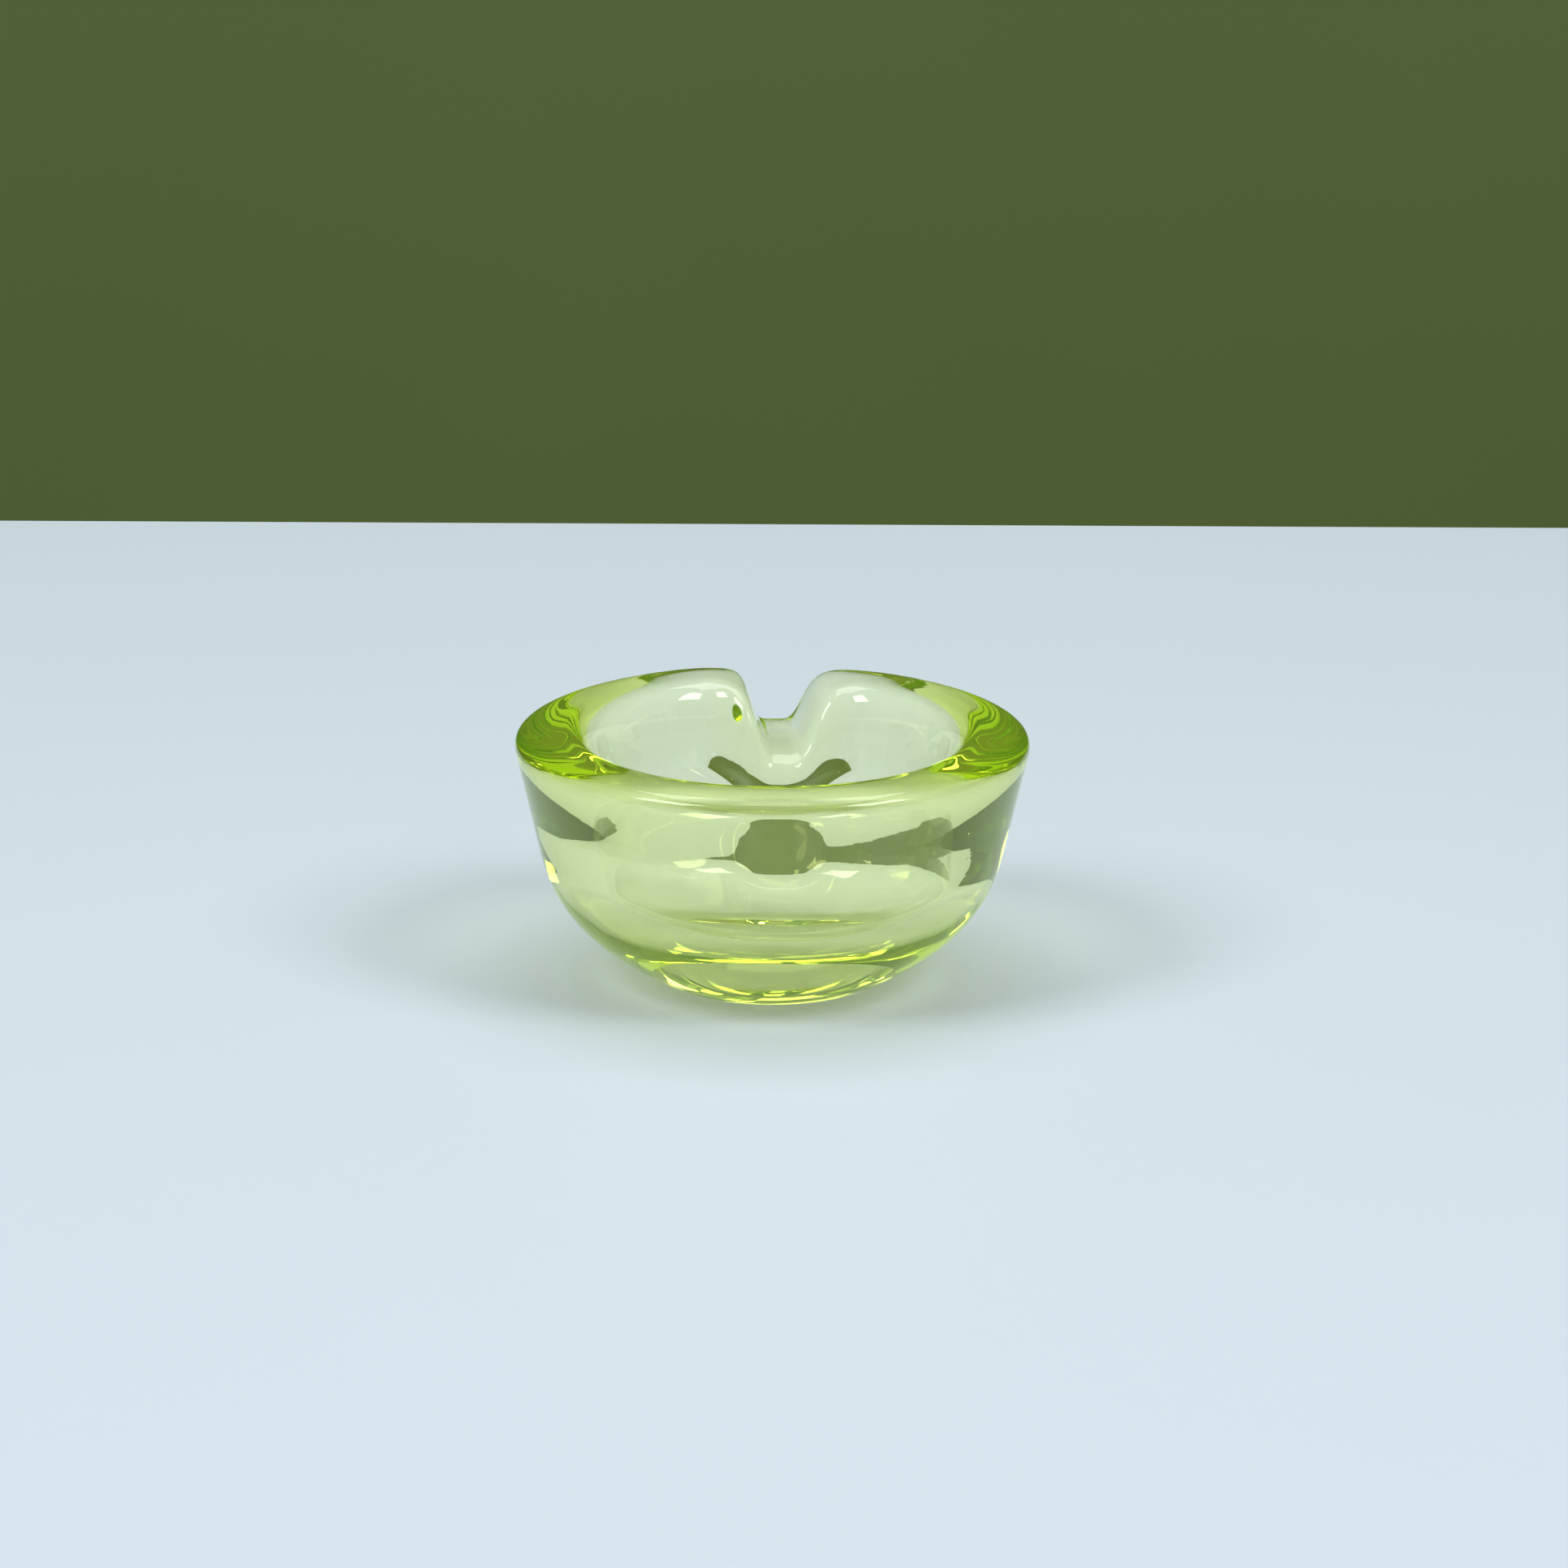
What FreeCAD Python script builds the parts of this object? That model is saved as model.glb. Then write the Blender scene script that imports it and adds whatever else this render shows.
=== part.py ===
"""Uranium glass dish: one thick-walled bowl of solid glass with one rest pressed into its rim.

Millimetres. The origin is the centre of the flat foot, on the table. +Z is up and the pressed rest
is at +Y. The skin of the glass is found column by column: each column runs up the outer wall, over
the rim, down the inner wall and across the bowl's floor.
"""
import FreeCAD, Part
import math
import os

# Outer wall: a flat foot, a swelling lower wall and a straight upper wall that leans out.
FOOT_RADIUS = 24.9
SWELL = 20.0            # how far the lower wall swells out past the foot
SWELL_HEIGHT = 31.0     # where the swelling is complete
SWELL_POWER = 2.75      # how quickly it turns upright
WALL_LEAN = 0.235       # outward run of the wall per mm of height

# Rim: a thick rounded edge, a little lower on its inner side.
RIM_HEIGHT = 57.2
RIM_DROP = 1.6          # inner edge below outer edge
RIM_ROUND_OUT = 6.5     # height of the rounding outside
RIM_ROUND_IN = 18.0     # height of the rounding inside
RIM_POWER_OUT = 2.9     # 2 is a round section, more is squarer
RIM_POWER_IN = 3.4

# Cavity: a well with a rounded bottom, slightly off the axis as hand work leaves it.
CAVITY_RADIUS = 40.8
CAVITY_SHIFT = -0.8     # along X
CAVITY_TAPER = 0.0025   # share of the radius lost per mm below the rim
CAVITY_TAPER_SIDE = 0.0013          # how much less that is at +X, and more at -X
CAVITY_UPRIGHT = 28.0   # height at which the rounded bottom begins
CAVITY_POWER = 2.0      # 2 is an ellipse, more has a squarer corner
FLOOR_HEIGHT = 9.2      # thickness of glass under the cavity
FLOOR_FLAT = 4.0        # radius of the flat in the middle of the floor
BOWL_SPLIT = 5.0        # height above the floor where the wall hands over to the floor

# Rest: a trough pressed across the rim, deeper and further along X at its inner end.
REST_X_OUT = 0.6
REST_X_IN = 3.7
REST_HALF_OUT = 6.2     # half width at half depth
REST_HALF_IN = 6.9
REST_DEPTH_OUT = 11.8
REST_DEPTH_IN = 15.0
REST_POWER_LEFT = 6.0   # steepness of the two flanks
REST_POWER_RIGHT = 4.2
REST_ROUND = 0.45       # share of the outer rounding lost where the rest is deepest
REST_ROUND_IN = 4.2     # height of the rounding inside where the rest is deepest
REST_DENT = 1.5         # how far the outer wall is drawn in below the rest
DENT_START = 20.0       # height at which that dent begins

# Swelling of the inner wall under the rest, where the pressed glass went: a hanging heart shape.
BULGE = 10.0
BULGE_X = 1.4           # where it is centred along X
BULGE_HALF_TOP = 11.0   # its half width at the rim
BULGE_HALF_LOW = 13.5   # at its crest
BULGE_HALF_END = 7.5    # and where it has narrowed
BULGE_HOLD = 4.5        # height below its crest over which it keeps its width
BULGE_NARROW = 5.5      # height over which it then narrows
BULGE_POWER = 4.0
BULGE_CREST = 42.0      # highest level at which it stands out in full
BULGE_SAG = 1.8         # how much lower its crest is right under the rest
BULGE_SAG_HALF = 9.0    # half width of that dip in the crest
BULGE_RISE = 8.0        # the most the crest may be above the lip's lower edge
BULGE_FADE = 26.0       # height over which it fades away below

# Sampling of the skin.
FINE_SPAN = math.radians(48.0)      # columns are close together this far each side of the rest
FINE_COLUMNS = 64
COARSE_COLUMNS = 52
WALL_ROWS = 12
RIM_ROWS = 22
INNER_ROWS = 12
FLOOR_ROWS = 10
OVERLAP = 8                         # columns repeated past each end, so that the skin closes smoothly


def smooth(t):
    """0 to 1 with level ends."""
    t = min(max(t, 0.0), 1.0)
    return t * t * t * (t * (6.0 * t - 15.0) + 10.0)


def outer_radius(z):
    left = max(0.0, 1.0 - z / SWELL_HEIGHT)
    return FOOT_RADIUS + SWELL * (1.0 - left ** SWELL_POWER) + WALL_LEAN * z


def cavity_share(z, sine):
    """Share of the cavity's radius that is left at level z on the side given by sine."""
    return 1.0 - (CAVITY_TAPER - CAVITY_TAPER_SIDE * sine) * (RIM_HEIGHT - z)


def cavity_radius(z, sine):
    depth = CAVITY_UPRIGHT - FLOOR_HEIGHT
    left = min(max(1.0 - (z - FLOOR_HEIGHT) / depth, 0.0), 1.0)
    bowl = CAVITY_RADIUS * (1.0 - left ** CAVITY_POWER) ** (1.0 / CAVITY_POWER)
    return bowl * cavity_share(z, sine)


def floor_height(radius, sine):
    """Level of the bowl's floor at a radius, the inverse of cavity_radius."""
    depth = CAVITY_UPRIGHT - FLOOR_HEIGHT
    z = FLOOR_HEIGHT
    for _ in range(30):
        bowl = radius / cavity_share(z, sine) / CAVITY_RADIUS
        left = 1.0 - min(bowl, 1.0) ** CAVITY_POWER
        z = FLOOR_HEIGHT + depth * (1.0 - left ** (1.0 / CAVITY_POWER))
    return z


def rest_share(x, across):
    """How much of the rest's depth is pressed at x. across is 0 at the outer edge, 1 at the inner."""
    u = x - (REST_X_OUT + (REST_X_IN - REST_X_OUT) * across)
    half = REST_HALF_OUT + (REST_HALF_IN - REST_HALF_OUT) * across
    power = REST_POWER_LEFT if u < 0.0 else REST_POWER_RIGHT
    return 1.0 / (1.0 + (abs(u) / half) ** power)


def rim_top(across, x, at_back):
    depth = REST_DEPTH_OUT + (REST_DEPTH_IN - REST_DEPTH_OUT) * across
    share = rest_share(x, across) if at_back else 0.0
    return RIM_HEIGHT - RIM_DROP * across - depth * share


def bulge(x, z, crest):
    """How far the inner wall stands inwards at level z. It fades away over a height below its crest."""
    low = smooth((RIM_HEIGHT - z) / 16.0)
    faded = smooth((crest - z) / BULGE_FADE)
    half = BULGE_HALF_TOP + (BULGE_HALF_LOW - BULGE_HALF_TOP) * low
    half += (BULGE_HALF_END - BULGE_HALF_LOW) * smooth((crest - BULGE_HOLD - z) / BULGE_NARROW)
    side = math.exp(-((abs(x - BULGE_X) / half) ** BULGE_POWER))
    return BULGE * side * (1.0 - faded)


def column(turn):
    """Points of the skin at one angle from the rest, from the foot's edge to the flat of the floor."""
    sine, cosine = math.sin(turn), math.cos(turn)
    at_back = cosine > 0.0

    # The rest at the outer edge, and the wall below it.
    pressed = rest_share(55.0 * sine, 0.0) if at_back else 0.0
    edge_out = RIM_HEIGHT - REST_DEPTH_OUT * pressed
    round_out = RIM_ROUND_OUT * (1.0 - REST_ROUND * pressed)
    wall_top = edge_out - round_out

    def outer(z):
        rise = (z - DENT_START) / (edge_out - DENT_START)
        return outer_radius(z) - REST_DENT * pressed * smooth(rise)

    # The rest at the inner edge, and the swelling below it.
    wall_x = 38.0 * sine + CAVITY_SHIFT
    stands_in = bulge(wall_x, BULGE_CREST, BULGE_CREST) if at_back else 0.0
    lip_x = (cavity_radius(BULGE_CREST, sine) - stands_in) * sine + CAVITY_SHIFT
    pressed_in = rest_share(lip_x, 1.0) if at_back else 0.0
    round_in = RIM_ROUND_IN + (REST_ROUND_IN - RIM_ROUND_IN) * pressed_in
    inner_top = rim_top(1.0, lip_x, at_back) - round_in
    sag = BULGE_SAG * math.exp(-(((lip_x - BULGE_X) / BULGE_SAG_HALF) ** 2))
    crest = min(BULGE_CREST - sag, inner_top + BULGE_RISE)

    def inner(z):
        swelling = bulge(wall_x, z, crest) if at_back else 0.0
        return cavity_radius(z, sine) - swelling

    points = []
    for i in range(WALL_ROWS):
        z = wall_top * (i / (WALL_ROWS - 1)) ** 1.25
        points.append((outer(z) * sine, outer(z) * cosine, z))

    # Rim: a squared-off half round from one wall to the other, under the rim's top line.
    start, end = outer(wall_top), inner(inner_top)
    for i in range(1, RIM_ROWS):
        c = math.cos(math.pi * i / RIM_ROWS)
        s = math.sin(math.pi * i / RIM_ROWS)
        power = RIM_POWER_OUT if c > 0.0 else RIM_POWER_IN
        across = 0.5 * (1.0 - math.copysign(abs(c) ** (2.0 / power), c))
        lift = s ** (2.0 / power)
        radius = start + (end - start) * across
        radius_out = radius + WALL_LEAN * round_out * lift * (1.0 - across) ** 4
        rounding = round_out + (round_in - round_out) * across
        x = radius * sine + CAVITY_SHIFT * across
        z = rim_top(across, x, at_back) - rounding * (1.0 - lift)
        points.append((x + (radius_out - radius) * sine, radius_out * cosine, z))

    # Inner wall down to the bowl, then the bowl in to the flat of the floor.
    bowl_top = FLOOR_HEIGHT + BOWL_SPLIT
    for i in range(INNER_ROWS):
        z = inner_top + (bowl_top - inner_top) * i / INNER_ROWS
        points.append((inner(z) * sine + CAVITY_SHIFT, inner(z) * cosine, z))
    bowl_radius = cavity_radius(bowl_top, sine)
    for i in range(FLOOR_ROWS):
        radius = bowl_radius + (FLOOR_FLAT - bowl_radius) * i / (FLOOR_ROWS - 1)
        x = radius * sine + CAVITY_SHIFT
        points.append((x, radius * cosine, floor_height(radius, sine)))
    return points


def turns():
    """Angles of the columns once round, starting and ending opposite the rest."""
    coarse = [
        FINE_SPAN + (math.pi - FINE_SPAN) * i / (COARSE_COLUMNS // 2)
        for i in range(COARSE_COLUMNS // 2 + 1)
    ]
    fine = [
        -FINE_SPAN + 2.0 * FINE_SPAN * i / FINE_COLUMNS for i in range(1, FINE_COLUMNS)
    ]
    return [-a for a in reversed(coarse)] + fine + coarse


def level_edge(surface, row, z):
    """Brings one edge of the skin exactly to level z, so that a flat face can close it."""
    for index in range(1, surface.NbUPoles + 1):
        pole = surface.getPole(index, row)
        pole.z = z
        surface.setPole(index, row, pole)


def skin_surface():
    """One smooth surface through all the columns, cut to exactly one turn."""
    once = turns()
    before = [a - 2.0 * math.pi for a in once[-1 - OVERLAP:-1]]
    after = [a + 2.0 * math.pi for a in once[1:1 + OVERLAP]]
    grid = [
        [FreeCAD.Vector(*point) for point in column(a)]
        for a in before + once + after
    ]
    surface = Part.BSplineSurface()
    surface.interpolate(grid)
    level_edge(surface, 1, 0.0)
    level_edge(surface, surface.NbVPoles, floor_height(FLOOR_FLAT, 0.0))
    first = surface.parameter(grid[OVERLAP][WALL_ROWS])[0]
    last = surface.parameter(grid[OVERLAP + len(once) - 1][WALL_ROWS])[0]
    middle = 0.5 * (first + last)
    halves = []
    for low, high in ((first, middle), (middle, last)):
        half = surface.copy()
        half.segment(low, high, 0.0, 1.0)
        halves.append(half.toShape())
    return halves


def cap(faces, z):
    """Flat disc that closes the skin at level z."""
    rim = [
        edge for face in faces for edge in face.Edges
        if all(abs(vertex.Z - z) < 1e-3 for vertex in edge.Vertexes)
        and abs(edge.BoundBox.ZLength) < 1e-3
    ]
    return Part.Face(Part.Wire(Part.__sortEdges__(rim)))


def glass_dish():
    skin = skin_surface()
    floor_level = floor_height(FLOOR_FLAT, 0.0)
    foot = cap(skin, 0.0)
    floor = cap(skin, floor_level)
    shell = Part.makeShell(skin + [foot, floor])
    shell.sewShape()
    solid = Part.Solid(shell)
    if solid.Volume < 0.0:
        solid.reverse()
    return solid


os.makedirs("parts", exist_ok=True)
glass_dish().exportStep("parts/glass_dish.step")
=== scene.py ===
"""Looks of the uranium glass dish: one piece of clear yellow-green glass on a pale table.

The glass is built from the same formulas as the CAD solid, in millimetres, and then scaled to
metres. It adds what the solid leaves out: the slow waves and fine ripples of worked glass, the
marks the tool left in the rest, a painted glow on the glass's surface that stands in for the faint
fluorescence of uranium and brightens the body, and a few seeds, which are bubbles.
The origin is the centre of the foot, +Z is up and the rest is at +Y.
"""

import math

import bpy
from mathutils import Matrix, Vector


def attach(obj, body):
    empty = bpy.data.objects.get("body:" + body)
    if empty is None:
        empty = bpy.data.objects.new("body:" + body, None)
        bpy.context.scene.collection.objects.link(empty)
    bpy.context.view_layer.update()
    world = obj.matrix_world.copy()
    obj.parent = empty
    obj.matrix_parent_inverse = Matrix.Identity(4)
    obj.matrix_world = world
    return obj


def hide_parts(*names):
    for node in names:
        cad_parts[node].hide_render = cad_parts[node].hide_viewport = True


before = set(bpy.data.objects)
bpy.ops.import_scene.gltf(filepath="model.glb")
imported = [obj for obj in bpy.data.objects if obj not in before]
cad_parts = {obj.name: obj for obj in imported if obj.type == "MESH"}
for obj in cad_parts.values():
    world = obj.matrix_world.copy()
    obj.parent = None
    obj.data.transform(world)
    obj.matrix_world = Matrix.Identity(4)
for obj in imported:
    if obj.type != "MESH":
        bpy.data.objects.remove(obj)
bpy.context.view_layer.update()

MM = 0.001              # in metres

# Outer wall: a flat foot, a swelling lower wall and a straight upper wall that leans out.
FOOT_RADIUS = 24.9
SWELL = 20.0            # how far the lower wall swells out past the foot
SWELL_HEIGHT = 31.0     # where the swelling is complete
SWELL_POWER = 2.75      # how quickly it turns upright
WALL_LEAN = 0.235       # outward run of the wall per mm of height

# Rim: a thick rounded edge, a little lower on its inner side.
RIM_HEIGHT = 57.2
RIM_DROP = 1.6          # inner edge below outer edge
RIM_ROUND_OUT = 6.5     # height of the rounding outside
RIM_ROUND_IN = 18.0     # height of the rounding inside
RIM_POWER_OUT = 2.9     # 2 is a round section, more is squarer
RIM_POWER_IN = 3.4

# Cavity: a well with a rounded bottom, slightly off the axis as hand work leaves it.
CAVITY_RADIUS = 40.8
CAVITY_SHIFT = -0.8     # along X
CAVITY_TAPER = 0.0025   # share of the radius lost per mm below the rim
CAVITY_TAPER_SIDE = 0.0013      # how much less that is at +X, and more at -X
CAVITY_UPRIGHT = 28.0   # height at which the rounded bottom begins
CAVITY_POWER = 2.0      # 2 is an ellipse, more has a squarer corner
FLOOR_HEIGHT = 9.2      # thickness of glass under the cavity
FLOOR_FLAT = 4.0        # radius of the flat in the middle of the floor
BOWL_SPLIT = 5.0        # height above the floor where the wall hands over to the floor
FLOOR_STEPS = 30        # rounds taken to find the floor's level

# Rest: a trough pressed across the rim, deeper and further along X at its inner end.
REST_RADIUS = 55.0      # distance of its outer end from the axis
REST_X_OUT = 0.6
REST_X_IN = 3.7
REST_HALF_OUT = 6.2     # half width at half depth
REST_HALF_IN = 6.9
REST_DEPTH_OUT = 11.8
REST_DEPTH_IN = 15.0
REST_POWER_LEFT = 6.0   # steepness of the two flanks
REST_POWER_RIGHT = 4.2
REST_ROUND = 0.45       # share of the outer rounding lost where the rest is deepest
REST_ROUND_IN = 5.4     # height of the rounding inside where the rest is deepest
REST_DENT = 1.5         # how far the outer wall is drawn in below the rest
DENT_START = 20.0       # height at which that dent begins

# Swelling of the inner wall under the rest, where the pressed glass went: a hanging heart shape.
BULGE = 10.0            # how far it stands in
BULGE_RADIUS = 38.0     # distance from the axis at which its width is measured
BULGE_X = 1.4           # where it is centred along X
BULGE_HALF_TOP = 11.0   # its half width at the rim
BULGE_HALF_LOW = 13.5   # at its crest
BULGE_WIDEN = 16.0      # height below the rim over which it widens to that
BULGE_HALF_END = 7.5    # and where it has narrowed
BULGE_NARROW = 11.0     # height over which it narrows below its crest
BULGE_POWER = 4.0       # steepness of its sides
BULGE_CREST = 42.0      # highest level at which it stands out in full
BULGE_SAG = 1.6         # how much lower its crest is right under the rest
BULGE_SAG_HALF = 9.0    # half width of that dip in the crest
BULGE_RISE = 8.0        # the most the crest may be above the lip's lower edge
BULGE_FADE = 26.0       # height over which it fades away below

# Sampling of the skin.
COLUMNS = 480
CROWDING = 0.75         # how much closer together the columns are near the rest
WALL_CROWDING = 1.25    # how much closer together the wall's rows are near the foot
WALL_ROWS = 40
RIM_ROWS = 60
INNER_ROWS = 40
FLOOR_ROWS = 24

# Glass: light lost per mm of path in red, green and blue, and the painted glow of its surface:
# light it gives off of its own, standing in for uranium's faint fluorescence and brightening the
# body.
LOSS = (0.0034, 0.0016, 0.021)
PAINTED_GLOW = (0.013, 0.020, 0.0004)
REFRACTION = 1.52

# Surface of the glass: depth in metres, and grain in turns per metre along X, Y and Z.
WAVE_DEPTH = 0.00003
WAVE_GRAIN = (45.0, 45.0, 60.0)
RIPPLE_DEPTH = 0.000004
RIPPLE_GRAIN = (40.0, 40.0, 700.0)
STREAK_DEPTH = 0.00012
STREAK_GRAIN = (900.0, 110.0, 300.0)

# Tool marks in the rest: where they run, in millimetres, and how rough they are.
TOOLED_OUTER_Y = 54.0
TOOLED_RUN = 24.0       # from the outer end inwards
TOOLED_INNER_Y = 26.0
TOOLED_INNER_FADE = 6.0
TOOLED_LOW = 34.0
TOOLED_LOW_FADE = 5.0
TOOLED_GAIN = 1.6       # how soon the marks begin as the flank goes down
TOOLED_START = 0.5
TOOLED_ROUGHNESS = 0.14

# Seeds: angle from the rest in degrees, then distance from the axis, height and radius in mm.
SEEDS = (
    (-12.3, 40.5, 34.2, 0.28),
    (20.8, 42.5, 36.3, 0.24),
    (101.0, 51.0, 39.5, 0.22),
    (101.4, 49.8, 32.5, 0.36),
    (133.6, 49.6, 38.0, 0.22),
    (134.4, 49.4, 36.6, 0.18),
    (-118.0, 47.5, 30.0, 0.2),
    (-64.0, 46.5, 41.0, 0.24),
    (63.0, 48.0, 27.0, 0.2),
)
SEED_SEGMENTS = 12
SEED_RINGS = 7

# Table, in metres.
TABLE_GAP = 0.0002      # between the table's top and the foot
TABLE_BACK = 0.397
TABLE_FRONT = -2.5
TABLE_HALF = 1.6
TABLE_COLOUR = (0.65, 0.73, 0.815)
TABLE_SHADE = 0.985     # the darkest its grain gets
TABLE_ROUGHNESS = 0.45
TABLE_GRAIN = 9.0

# Backdrop, in metres: a dark olive cloth well behind the table.
BACKDROP_Y = 1.2
BACKDROP_HALF = 4.0
BACKDROP_LOW = -1.0
BACKDROP_TOP = 3.0
BACKDROP_COLOUR = (0.108, 0.158, 0.034)
BACKDROP_SHADE = 0.92
BACKDROP_ROUGHNESS = 0.8
BACKDROP_GRAIN = 5.0
STAGE_THICK = 0.03

# Light: two softboxes in front, turned from the view by an angle, one overhead, and a soft sky.
LAMP_TURN = 57.0
LAMP_RISE = 46.0
LAMP_DISTANCE = 2.4
LAMP_SIZE = 0.9
LAMP_POWER = 23.0
TOP_LAMP_HEIGHT = 1.5
TOP_LAMP_BACK = 0.25
TOP_LAMP_SIZE = 1.1
TOP_LAMP_POWER = 9.9
SKY_COLOUR = (0.93, 0.97, 1.0, 1.0)
SKY_STRENGTH = 0.28

# Camera: metres, degrees, and a lens in millimetres on a sensor as wide.
CAMERA_DISTANCE = 2.0
CAMERA_RISE = 16.71
CAMERA_LENS = 205.96
CAMERA_SENSOR = 36.0
CAMERA_PITCH = 16.255
CAMERA_YAW = 0.079
CAMERA_ROLL = 0.286
LOOK_HEIGHT = 27.0 * MM
BOUNCES = 24            # of light inside the glass


def smooth(t):
    """0 to 1 with level ends."""
    t = min(max(t, 0.0), 1.0)
    return t * t * t * (t * (6.0 * t - 15.0) + 10.0)


def outer_radius(z):
    """Radius of the outer wall at level z, away from the rest."""
    left = max(0.0, 1.0 - z / SWELL_HEIGHT)
    return FOOT_RADIUS + SWELL * (1.0 - left ** SWELL_POWER) + WALL_LEAN * z


def cavity_share(z, sine):
    """Share of the cavity's radius that is left at level z on the side given by sine."""
    return 1.0 - (CAVITY_TAPER - CAVITY_TAPER_SIDE * sine) * (RIM_HEIGHT - z)


def cavity_radius(z, sine):
    """Radius of the inner wall at level z, away from the swelling."""
    depth = CAVITY_UPRIGHT - FLOOR_HEIGHT
    left = min(max(1.0 - (z - FLOOR_HEIGHT) / depth, 0.0), 1.0)
    bowl = CAVITY_RADIUS * (1.0 - left ** CAVITY_POWER) ** (1.0 / CAVITY_POWER)
    return bowl * cavity_share(z, sine)


def floor_height(radius, sine):
    """Level of the bowl's floor at a radius, the inverse of cavity_radius."""
    depth = CAVITY_UPRIGHT - FLOOR_HEIGHT
    z = FLOOR_HEIGHT
    for _ in range(FLOOR_STEPS):
        bowl = radius / cavity_share(z, sine) / CAVITY_RADIUS
        left = 1.0 - min(bowl, 1.0) ** CAVITY_POWER
        z = FLOOR_HEIGHT + depth * (1.0 - left ** (1.0 / CAVITY_POWER))
    return z


def rest_share(x, across):
    """Share of the rest's depth pressed at x. across is 0 at the outer edge, 1 at the inner."""
    u = x - (REST_X_OUT + (REST_X_IN - REST_X_OUT) * across)
    half = REST_HALF_OUT + (REST_HALF_IN - REST_HALF_OUT) * across
    power = REST_POWER_LEFT if u < 0.0 else REST_POWER_RIGHT
    return 1.0 / (1.0 + (abs(u) / half) ** power)


def rim_top(across, x, at_back):
    """Level of the rim's top line. across is 0 at the outer edge, 1 at the inner."""
    depth = REST_DEPTH_OUT + (REST_DEPTH_IN - REST_DEPTH_OUT) * across
    share = rest_share(x, across) if at_back else 0.0
    return RIM_HEIGHT - RIM_DROP * across - depth * share


def bulge(x, z, crest):
    """How far the inner wall stands in at level z. It fades away over a height below its crest."""
    low = smooth((RIM_HEIGHT - z) / BULGE_WIDEN)
    faded = smooth((crest - z) / BULGE_FADE)
    half = BULGE_HALF_TOP + (BULGE_HALF_LOW - BULGE_HALF_TOP) * low
    half += (BULGE_HALF_END - BULGE_HALF_LOW) * smooth((crest - z) / BULGE_NARROW)
    side = math.exp(-((abs(x - BULGE_X) / half) ** BULGE_POWER))
    return BULGE * side * (1.0 - faded)


def column(turn):
    """Points of the skin at one angle from the rest, from the foot's edge to the floor's flat."""
    sine, cosine = math.sin(turn), math.cos(turn)
    at_back = cosine > 0.0

    # The rest at the outer edge, and the wall below it.
    pressed = rest_share(REST_RADIUS * sine, 0.0) if at_back else 0.0
    edge_out = RIM_HEIGHT - REST_DEPTH_OUT * pressed
    round_out = RIM_ROUND_OUT * (1.0 - REST_ROUND * pressed)
    wall_top = edge_out - round_out

    def outer(z):
        rise = (z - DENT_START) / (edge_out - DENT_START)
        return outer_radius(z) - REST_DENT * pressed * smooth(rise)

    # The rest at the inner edge, and the swelling below it.
    wall_x = BULGE_RADIUS * sine + CAVITY_SHIFT
    stands_in = bulge(wall_x, BULGE_CREST, BULGE_CREST) if at_back else 0.0
    lip_x = (cavity_radius(BULGE_CREST, sine) - stands_in) * sine + CAVITY_SHIFT
    pressed_in = rest_share(lip_x, 1.0) if at_back else 0.0
    round_in = RIM_ROUND_IN + (REST_ROUND_IN - RIM_ROUND_IN) * pressed_in
    inner_top = rim_top(1.0, lip_x, at_back) - round_in
    sag = BULGE_SAG * math.exp(-(((lip_x - BULGE_X) / BULGE_SAG_HALF) ** 2))
    crest = min(BULGE_CREST - sag, inner_top + BULGE_RISE)

    def inner(z):
        swelling = bulge(wall_x, z, crest) if at_back else 0.0
        return cavity_radius(z, sine) - swelling

    points = []
    for i in range(WALL_ROWS):
        z = wall_top * (i / (WALL_ROWS - 1)) ** WALL_CROWDING
        points.append((outer(z) * sine, outer(z) * cosine, z))

    # Rim: a squared-off half round from one wall to the other, under the rim's top line.
    start, end = outer(wall_top), inner(inner_top)
    for i in range(1, RIM_ROWS):
        c = math.cos(math.pi * i / RIM_ROWS)
        s = math.sin(math.pi * i / RIM_ROWS)
        power = RIM_POWER_OUT if c > 0.0 else RIM_POWER_IN
        across = 0.5 * (1.0 - math.copysign(abs(c) ** (2.0 / power), c))
        lift = s ** (2.0 / power)
        radius = start + (end - start) * across
        radius_out = radius + WALL_LEAN * round_out * lift * (1.0 - across) ** 4
        rounding = round_out + (round_in - round_out) * across
        x = radius * sine + CAVITY_SHIFT * across
        z = rim_top(across, x, at_back) - rounding * (1.0 - lift)
        points.append((x + (radius_out - radius) * sine, radius_out * cosine, z))

    # Inner wall down to the bowl, then the bowl in to the flat of the floor.
    bowl_top = FLOOR_HEIGHT + BOWL_SPLIT
    for i in range(INNER_ROWS):
        z = inner_top + (bowl_top - inner_top) * i / INNER_ROWS
        points.append((inner(z) * sine + CAVITY_SHIFT, inner(z) * cosine, z))
    bowl_radius = cavity_radius(bowl_top, sine)
    for i in range(FLOOR_ROWS):
        radius = bowl_radius + (FLOOR_FLAT - bowl_radius) * i / (FLOOR_ROWS - 1)
        x = radius * sine + CAVITY_SHIFT
        points.append((x, radius * cosine, floor_height(radius, sine)))
    return points


def tooled(x, y, z):
    """1 on the floor and flanks of the rest, where the tool touched the glass, fading to 0."""
    if y < 0.0:
        return 0.0
    across = min(max((TOOLED_OUTER_Y - y) / TOOLED_RUN, 0.0), 1.0)
    share = rest_share(x, across)
    high = smooth((z - TOOLED_LOW) / TOOLED_LOW_FADE)
    within = smooth((y - TOOLED_INNER_Y) / TOOLED_INNER_FADE)
    return smooth(TOOLED_GAIN * share - TOOLED_START) * high * within


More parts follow.
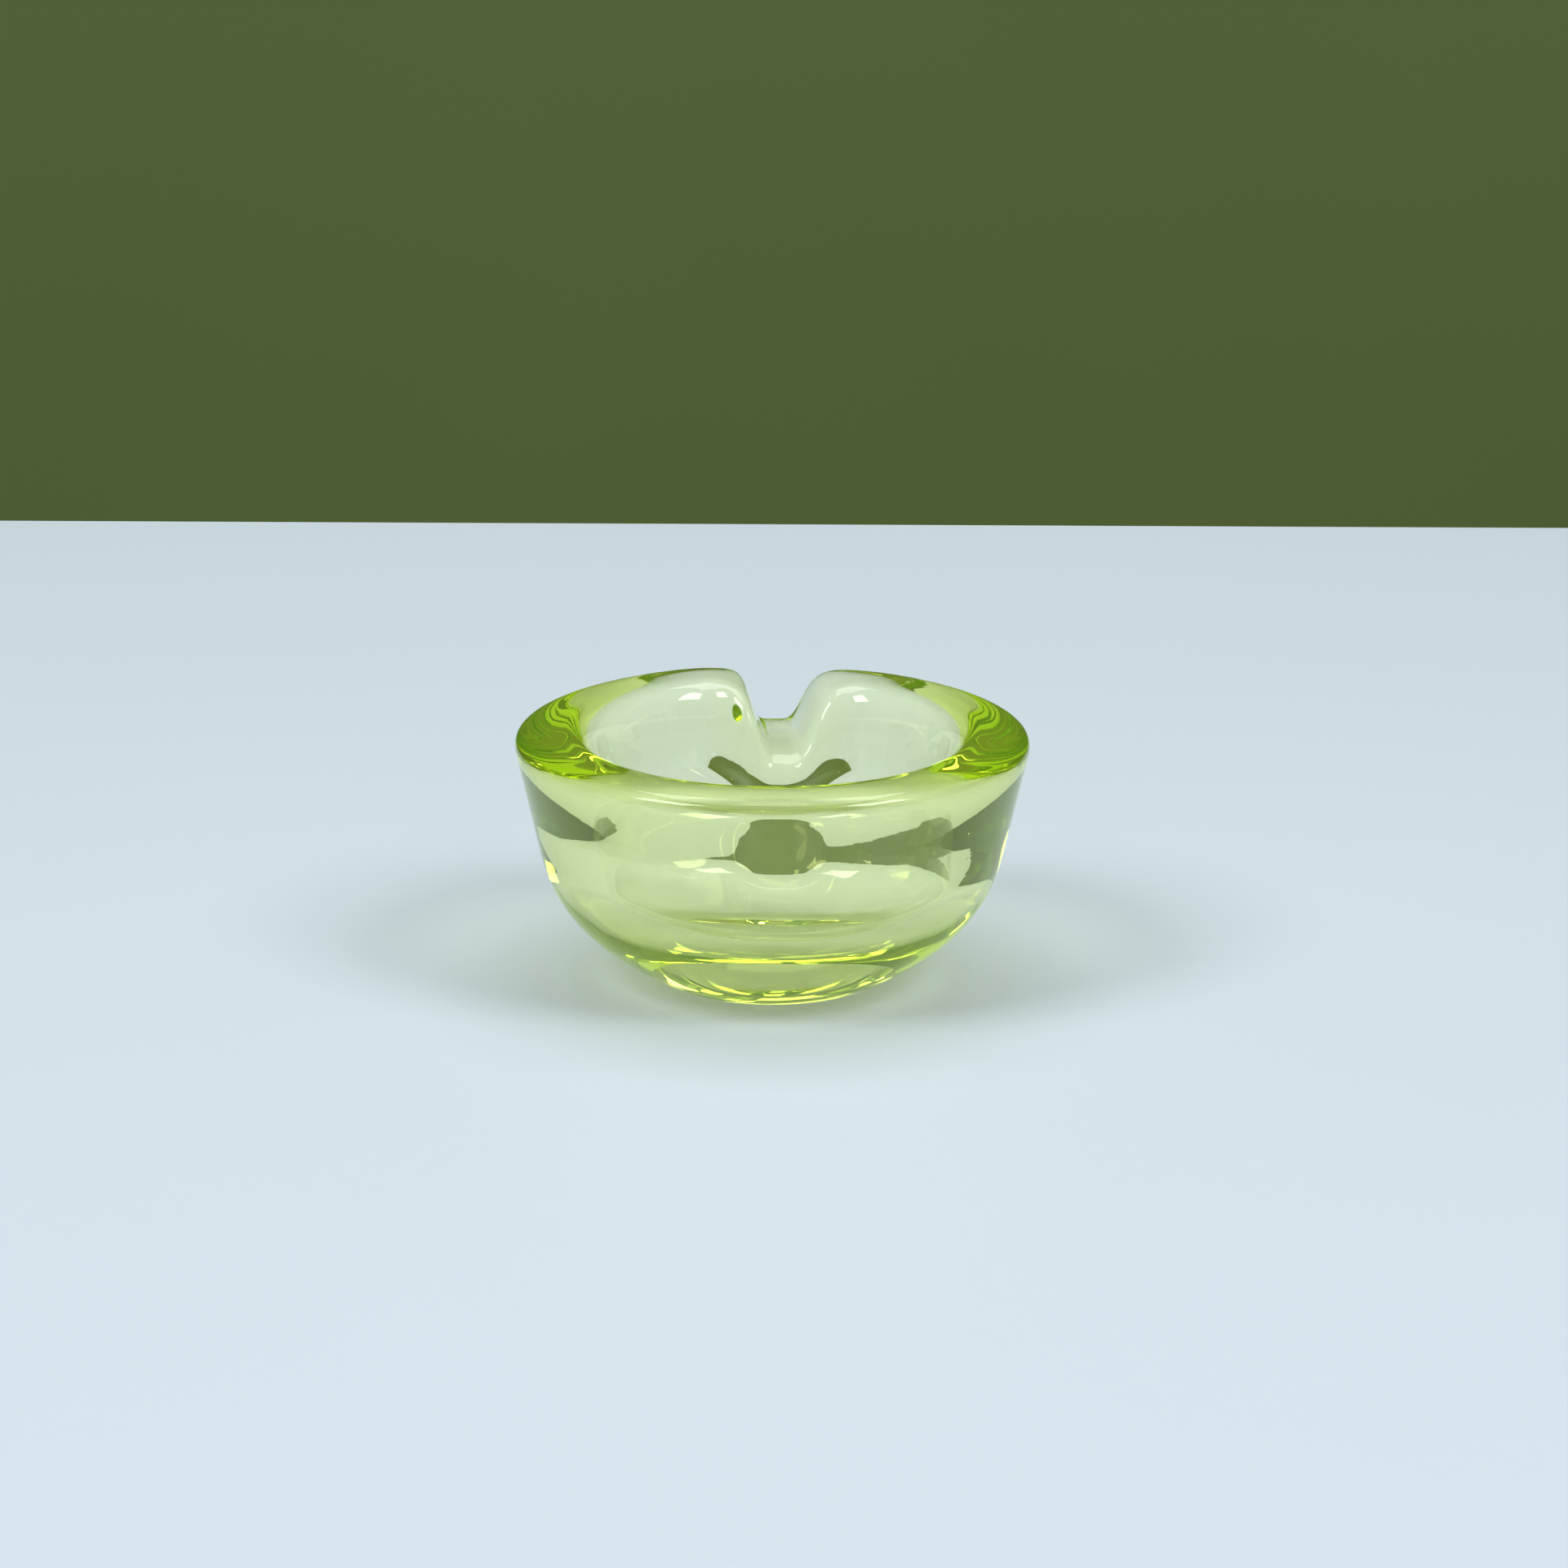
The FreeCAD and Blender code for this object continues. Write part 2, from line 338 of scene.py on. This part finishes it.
def skin():
    """Corners in millimetres and faces of the closed skin. The foot and floor come last."""
    columns = []
    for i in range(COLUMNS):
        angle = 2.0 * math.pi * i / COLUMNS - math.pi
        columns.append(column(angle - CROWDING * math.sin(angle)))
    rows = len(columns[0])
    points = [point for col in columns for point in col]
    faces = []
    for i in range(COLUMNS):
        a = i * rows
        b = (i + 1) % COLUMNS * rows
        for r in range(rows - 1):
            faces.append((a + r, a + r + 1, b + r + 1, b + r))
    faces.append(tuple(i * rows for i in range(COLUMNS)))
    faces.append(tuple(i * rows + rows - 1 for i in reversed(range(COLUMNS))))
    return points, faces


def seed(turn, radius, z, size):
    """A small sphere facing inwards: a bubble in the glass."""
    angle = math.radians(turn)
    centre = (radius * math.sin(angle), radius * math.cos(angle), z)
    points = [(centre[0], centre[1], z + size)]
    for i in range(1, SEED_RINGS):
        polar = math.pi * i / SEED_RINGS
        for j in range(SEED_SEGMENTS):
            turned = 2.0 * math.pi * j / SEED_SEGMENTS
            points.append((
                centre[0] + size * math.sin(polar) * math.cos(turned),
                centre[1] + size * math.sin(polar) * math.sin(turned),
                z + size * math.cos(polar),
            ))
    points.append((centre[0], centre[1], z - size))
    last = len(points) - 1
    faces = []
    for j in range(SEED_SEGMENTS):
        k = (j + 1) % SEED_SEGMENTS
        faces.append((0, 1 + k, 1 + j))
        for i in range(SEED_RINGS - 2):
            a = 1 + i * SEED_SEGMENTS
            b = a + SEED_SEGMENTS
            faces.append((a + j, a + k, b + k, b + j))
        faces.append((last, last - SEED_SEGMENTS + j, last - SEED_SEGMENTS + k))
    return points, faces


def glass_mesh():
    """The skin and its seeds as one mesh, smooth but for the foot, its edge and the floor."""
    points, faces = skin()
    skin_faces = len(faces)
    for turn, radius, z, size in SEEDS:
        more, more_faces = seed(turn, radius, z, size)
        base = len(points)
        points += more
        faces += [tuple(base + i for i in face) for face in more_faces]
    mesh = bpy.data.meshes.new("glass")
    mesh.from_pydata([[c * MM for c in point] for point in points], [], faces)
    mesh.update()
    marks = mesh.attributes.new("tooled", "FLOAT", "POINT")
    marks.data.foreach_set("value", [tooled(*point) for point in points])
    for i, face in enumerate(mesh.polygons):
        face.use_smooth = i < skin_faces - 2 or i >= skin_faces
    foot = mesh.polygons[skin_faces - 2]
    sharp = mesh.attributes.new("sharp_edge", "BOOLEAN", "EDGE")
    ring = {tuple(sorted(key)) for key in foot.edge_keys}
    sharp.data.foreach_set("value", [tuple(sorted(edge.key)) in ring for edge in mesh.edges])
    return mesh


def node(tree, kind, **values):
    """A new shader node with some of its settings."""
    made = tree.nodes.new(kind)
    for name, value in values.items():
        setattr(made, name, value)
    return made


def stretched_noise(tree, coords, scale, detail):
    """Noise whose grain is drawn out along the axes with the smaller scales."""
    mapping = node(tree, "ShaderNodeMapping")
    mapping.inputs["Scale"].default_value = scale
    noise = node(tree, "ShaderNodeTexNoise")
    noise.inputs["Scale"].default_value = 1.0
    noise.inputs["Detail"].default_value = detail
    tree.links.new(coords, mapping.inputs["Vector"])
    tree.links.new(mapping.outputs["Vector"], noise.inputs["Vector"])
    return noise.outputs["Fac"]


def bump(tree, height, distance, before=None):
    """Relief of a depth in metres, on top of the relief before it."""
    made = node(tree, "ShaderNodeBump")
    made.inputs["Strength"].default_value = 1.0
    made.inputs["Distance"].default_value = distance
    tree.links.new(height, made.inputs["Height"])
    if before is not None:
        tree.links.new(before, made.inputs["Normal"])
    return made.outputs["Normal"]


def product(tree, first, second):
    """One number times another, at each point of the surface."""
    made = node(tree, "ShaderNodeMath", operation="MULTIPLY")
    tree.links.new(first, made.inputs[0])
    tree.links.new(second, made.inputs[1])
    return made.outputs[0]


def glass_material():
    """Clear glass that takes away blue along the light's path, with a painted glow on its surface.
    """
    material = bpy.data.materials.new("uranium_glass")
    material.use_nodes = True
    tree = material.node_tree
    shader = tree.nodes["Principled BSDF"]
    shader.inputs["Base Color"].default_value = (1.0, 1.0, 1.0, 1.0)
    shader.inputs["IOR"].default_value = REFRACTION
    shader.inputs["Transmission Weight"].default_value = 1.0
    # Painted glow: the surface gives off light of its own, standing in for uranium's fluorescence
    # and brightening the glass.
    shader.inputs["Emission Color"].default_value = (*PAINTED_GLOW, 1.0)
    shader.inputs["Emission Strength"].default_value = 1.0

    coords = node(tree, "ShaderNodeTexCoord").outputs["Object"]
    marks = node(tree, "ShaderNodeAttribute", attribute_name="tooled").outputs["Fac"]

    # Slow waviness of worked glass, fine level ripples, and streaks along the rest.
    slow = stretched_noise(tree, coords, WAVE_GRAIN, 1.0)
    fine = stretched_noise(tree, coords, RIPPLE_GRAIN, 3.0)
    streaks = stretched_noise(tree, coords, STREAK_GRAIN, 4.0)
    normal = bump(tree, slow, WAVE_DEPTH)
    normal = bump(tree, fine, RIPPLE_DEPTH, normal)
    normal = bump(tree, product(tree, streaks, marks), STREAK_DEPTH, normal)
    tree.links.new(normal, shader.inputs["Normal"])

    rough = node(tree, "ShaderNodeMapRange")
    rough.inputs["To Min"].default_value = 0.0
    rough.inputs["To Max"].default_value = TOOLED_ROUGHNESS
    tree.links.new(product(tree, streaks, marks), rough.inputs["Value"])
    tree.links.new(rough.outputs["Result"], shader.inputs["Roughness"])

    most = max(LOSS)
    volume = node(tree, "ShaderNodeVolumeAbsorption")
    volume.inputs["Color"].default_value = (*[1.0 - loss / most for loss in LOSS], 1.0)
    volume.inputs["Density"].default_value = most / MM
    tree.links.new(volume.outputs["Volume"], tree.nodes["Material Output"].inputs["Volume"])
    return material


def plain_material(name, colour, shade, roughness, grain):
    """A matt surface whose colour varies a little with a soft grain."""
    material = bpy.data.materials.new(name)
    material.use_nodes = True
    tree = material.node_tree
    shader = tree.nodes["Principled BSDF"]
    shader.inputs["Roughness"].default_value = roughness
    coords = node(tree, "ShaderNodeTexCoord").outputs["Object"]
    mix = node(tree, "ShaderNodeMix", data_type="RGBA")
    mix.inputs["A"].default_value = (*colour, 1.0)
    mix.inputs["B"].default_value = (*[c * shade for c in colour], 1.0)
    tree.links.new(stretched_noise(tree, coords, (grain,) * 3, 2.0), mix.inputs["Factor"])
    tree.links.new(mix.outputs["Result"], shader.inputs["Base Color"])
    return material


def block(name, low, high, material):
    """A box between two corners."""
    corners = [
        (x, y, z) for z in (low[2], high[2]) for y in (low[1], high[1]) for x in (low[0], high[0])
    ]
    faces = [(0, 2, 3, 1), (4, 5, 7, 6), (0, 1, 5, 4), (1, 3, 7, 5), (3, 2, 6, 7), (2, 0, 4, 6)]
    mesh = bpy.data.meshes.new(name)
    mesh.from_pydata(corners, [], faces)
    mesh.update()
    mesh.materials.append(material)
    made = bpy.data.objects.new(name, mesh)
    bpy.context.scene.collection.objects.link(made)
    return made


def softbox(name, place, size, power):
    """A square lamp at a place, aimed at the dish."""
    light = bpy.data.lights.new(name, "AREA")
    light.shape = "SQUARE"
    light.size = size
    light.energy = power
    made = bpy.data.objects.new(name, light)
    made.location = place
    made.rotation_euler = (-place).to_track_quat("-Z", "Y").to_euler()
    bpy.context.scene.collection.objects.link(made)


def lamps():
    """One softbox on each side of the camera and one overhead."""
    rise = math.radians(LAMP_RISE)
    for name, turn in (("lamp_left", -LAMP_TURN), ("lamp_right", LAMP_TURN)):
        side = math.radians(turn)
        place = LAMP_DISTANCE * Vector((
            math.sin(side) * math.cos(rise),
            -math.cos(side) * math.cos(rise),
            math.sin(rise),
        ))
        softbox(name, place, LAMP_SIZE, LAMP_POWER)
    above = Vector((0.0, TOP_LAMP_BACK, TOP_LAMP_HEIGHT))
    softbox("lamp_top", above, TOP_LAMP_SIZE, TOP_LAMP_POWER)


def sky():
    """Even pale light from all round."""
    world = bpy.data.worlds.new("studio")
    bpy.context.scene.world = world
    world.use_nodes = True
    background = world.node_tree.nodes["Background"]
    background.inputs["Color"].default_value = SKY_COLOUR
    background.inputs["Strength"].default_value = SKY_STRENGTH


def camera():
    """The camera, in front of the dish and above it, looking a little below its rim."""
    rise = math.radians(CAMERA_RISE)
    pitch = math.radians(CAMERA_PITCH)
    yaw = math.radians(CAMERA_YAW)
    roll = math.radians(CAMERA_ROLL)
    ahead = Vector((
        math.sin(yaw) * math.cos(pitch),
        math.cos(yaw) * math.cos(pitch),
        -math.sin(pitch),
    ))
    level = ahead.cross(Vector((0.0, 0.0, 1.0))).normalized()
    upright = level.cross(ahead)
    right = level * math.cos(roll) + upright * math.sin(roll)
    up = upright * math.cos(roll) - level * math.sin(roll)
    place = Matrix((right, up, -ahead)).transposed().to_4x4()
    place.translation = Vector((
        0.0,
        -CAMERA_DISTANCE * math.cos(rise),
        LOOK_HEIGHT + CAMERA_DISTANCE * math.sin(rise),
    ))
    data = bpy.data.cameras.new("camera")
    data.sensor_width = CAMERA_SENSOR
    data.lens = CAMERA_LENS
    made = bpy.data.objects.new("camera", data)
    made.matrix_world = place
    bpy.context.scene.collection.objects.link(made)
    bpy.context.scene.camera = made


dish = bpy.data.objects.new("dish_glass", glass_mesh())
dish.data.materials.append(glass_material())
bpy.context.scene.collection.objects.link(dish)
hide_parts("glass_dish")
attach(dish, "root")

table = block(
    "table",
    (-TABLE_HALF, TABLE_FRONT, -TABLE_GAP - STAGE_THICK),
    (TABLE_HALF, TABLE_BACK, -TABLE_GAP),
    plain_material("table_top", TABLE_COLOUR, TABLE_SHADE, TABLE_ROUGHNESS, TABLE_GRAIN),
)
backdrop = block(
    "backdrop",
    (-BACKDROP_HALF, BACKDROP_Y, BACKDROP_LOW),
    (BACKDROP_HALF, BACKDROP_Y + STAGE_THICK, BACKDROP_TOP),
    plain_material(
        "backdrop_cloth", BACKDROP_COLOUR, BACKDROP_SHADE, BACKDROP_ROUGHNESS, BACKDROP_GRAIN
    ),
)

lamps()
sky()
camera()

scene = bpy.context.scene
scene.view_settings.view_transform = "Standard"
scene.cycles.max_bounces = BOUNCES
scene.cycles.transmission_bounces = BOUNCES
scene.cycles.glossy_bounces = BOUNCES // 2
